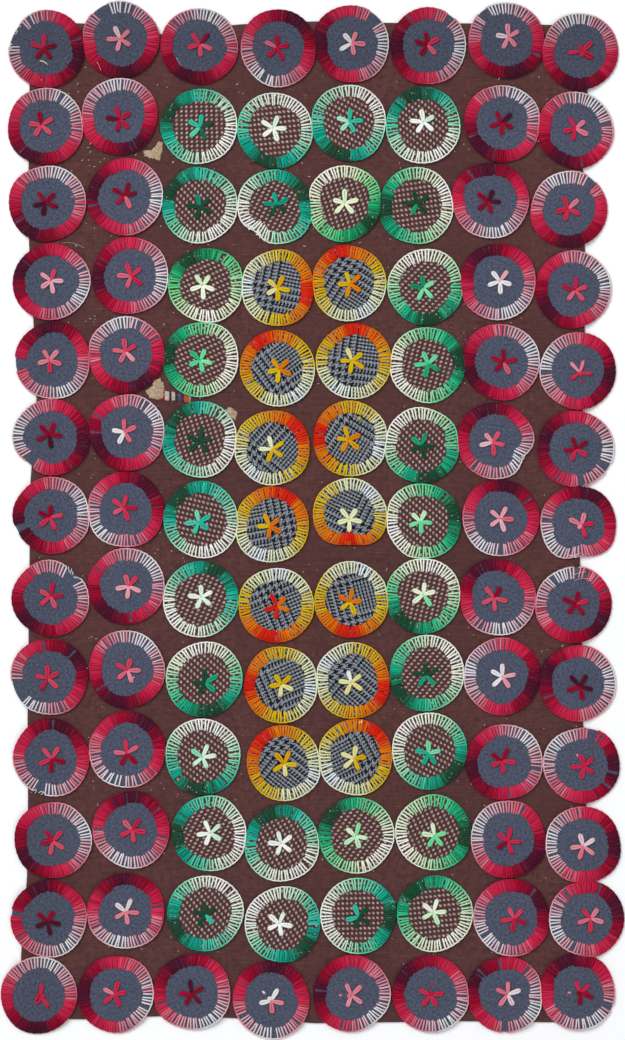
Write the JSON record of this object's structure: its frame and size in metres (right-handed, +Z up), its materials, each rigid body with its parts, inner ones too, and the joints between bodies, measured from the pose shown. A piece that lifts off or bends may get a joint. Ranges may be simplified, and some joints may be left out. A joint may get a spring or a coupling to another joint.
{
  "type": "penny rug",
  "caption": "Flat hearth rug of round wool pennies with stitched rims, laid in rows on a brown cloth that they overhang all round.",
  "frame": {"origin": "centre of the rug's footprint, on the surface it lies on", "axes": "+Z up from the floor, +Y along the rug's length towards its top row, +X along its rows to the right"},
  "size_m": [0.624, 1.0398, 0.0045],
  "materials": {
    "brown_backing": "matte",
    "slate_wool": "matte",
    "dotted_brown": "matte",
    "navy_check": "matte",
    "red_thread": "satin",
    "green_thread": "satin",
    "gold_thread": "satin"
  },
  "bodies": {
    "root": {"backing": "brown_backing", "pennies_r01_c12": "slate_wool", "pennies_r01_c34": "slate_wool", "pennies_r01_c56": "slate_wool", "pennies_r01_c78": "slate_wool", "pennies_r02_c12": "slate_wool", "pennies_r02_c34": "dotted_brown", "pennies_r02_c56": "dotted_brown", "pennies_r02_c78": "slate_wool", "pennies_r03_c12": "slate_wool", "pennies_r03_c34": "dotted_brown", "pennies_r03_c56": "dotted_brown", "pennies_r03_c78": "slate_wool", "pennies_r04_c12": "slate_wool", "pennies_r04_c3": "dotted_brown", "pennies_r04_c45": "navy_check", "pennies_r04_c6": "dotted_brown", "pennies_r04_c78": "slate_wool", "pennies_r05_c12": "slate_wool", "pennies_r05_c3": "dotted_brown", "pennies_r05_c45": "navy_check", "pennies_r05_c6": "dotted_brown", "pennies_r05_c78": "slate_wool", "pennies_r06_c12": "slate_wool", "pennies_r06_c3": "dotted_brown", "pennies_r06_c45": "navy_check", "pennies_r06_c6": "dotted_brown", "pennies_r06_c78": "slate_wool", "pennies_r07_c12": "slate_wool", "pennies_r07_c3": "dotted_brown", "pennies_r07_c45": "navy_check", "pennies_r07_c6": "dotted_brown", "pennies_r07_c78": "slate_wool", "pennies_r08_c12": "slate_wool", "pennies_r08_c3": "dotted_brown", "pennies_r08_c45": "navy_check", "pennies_r08_c6": "dotted_brown", "pennies_r08_c78": "slate_wool", "pennies_r09_c12": "slate_wool", "pennies_r09_c3": "dotted_brown", "pennies_r09_c45": "navy_check", "pennies_r09_c6": "dotted_brown", "pennies_r09_c78": "slate_wool", "pennies_r10_c12": "slate_wool", "pennies_r10_c3": "dotted_brown", "pennies_r10_c45": "navy_check", "pennies_r10_c6": "dotted_brown", "pennies_r10_c78": "slate_wool", "pennies_r11_c12": "slate_wool", "pennies_r11_c34": "dotted_brown", "pennies_r11_c56": "dotted_brown", "pennies_r11_c78": "slate_wool", "pennies_r12_c12": "slate_wool", "pennies_r12_c34": "dotted_brown", "pennies_r12_c56": "dotted_brown", "pennies_r12_c78": "slate_wool", "pennies_r13_c12": "slate_wool", "pennies_r13_c34": "slate_wool", "pennies_r13_c56": "slate_wool", "pennies_r13_c78": "slate_wool"}
  },
  "joints": []
}
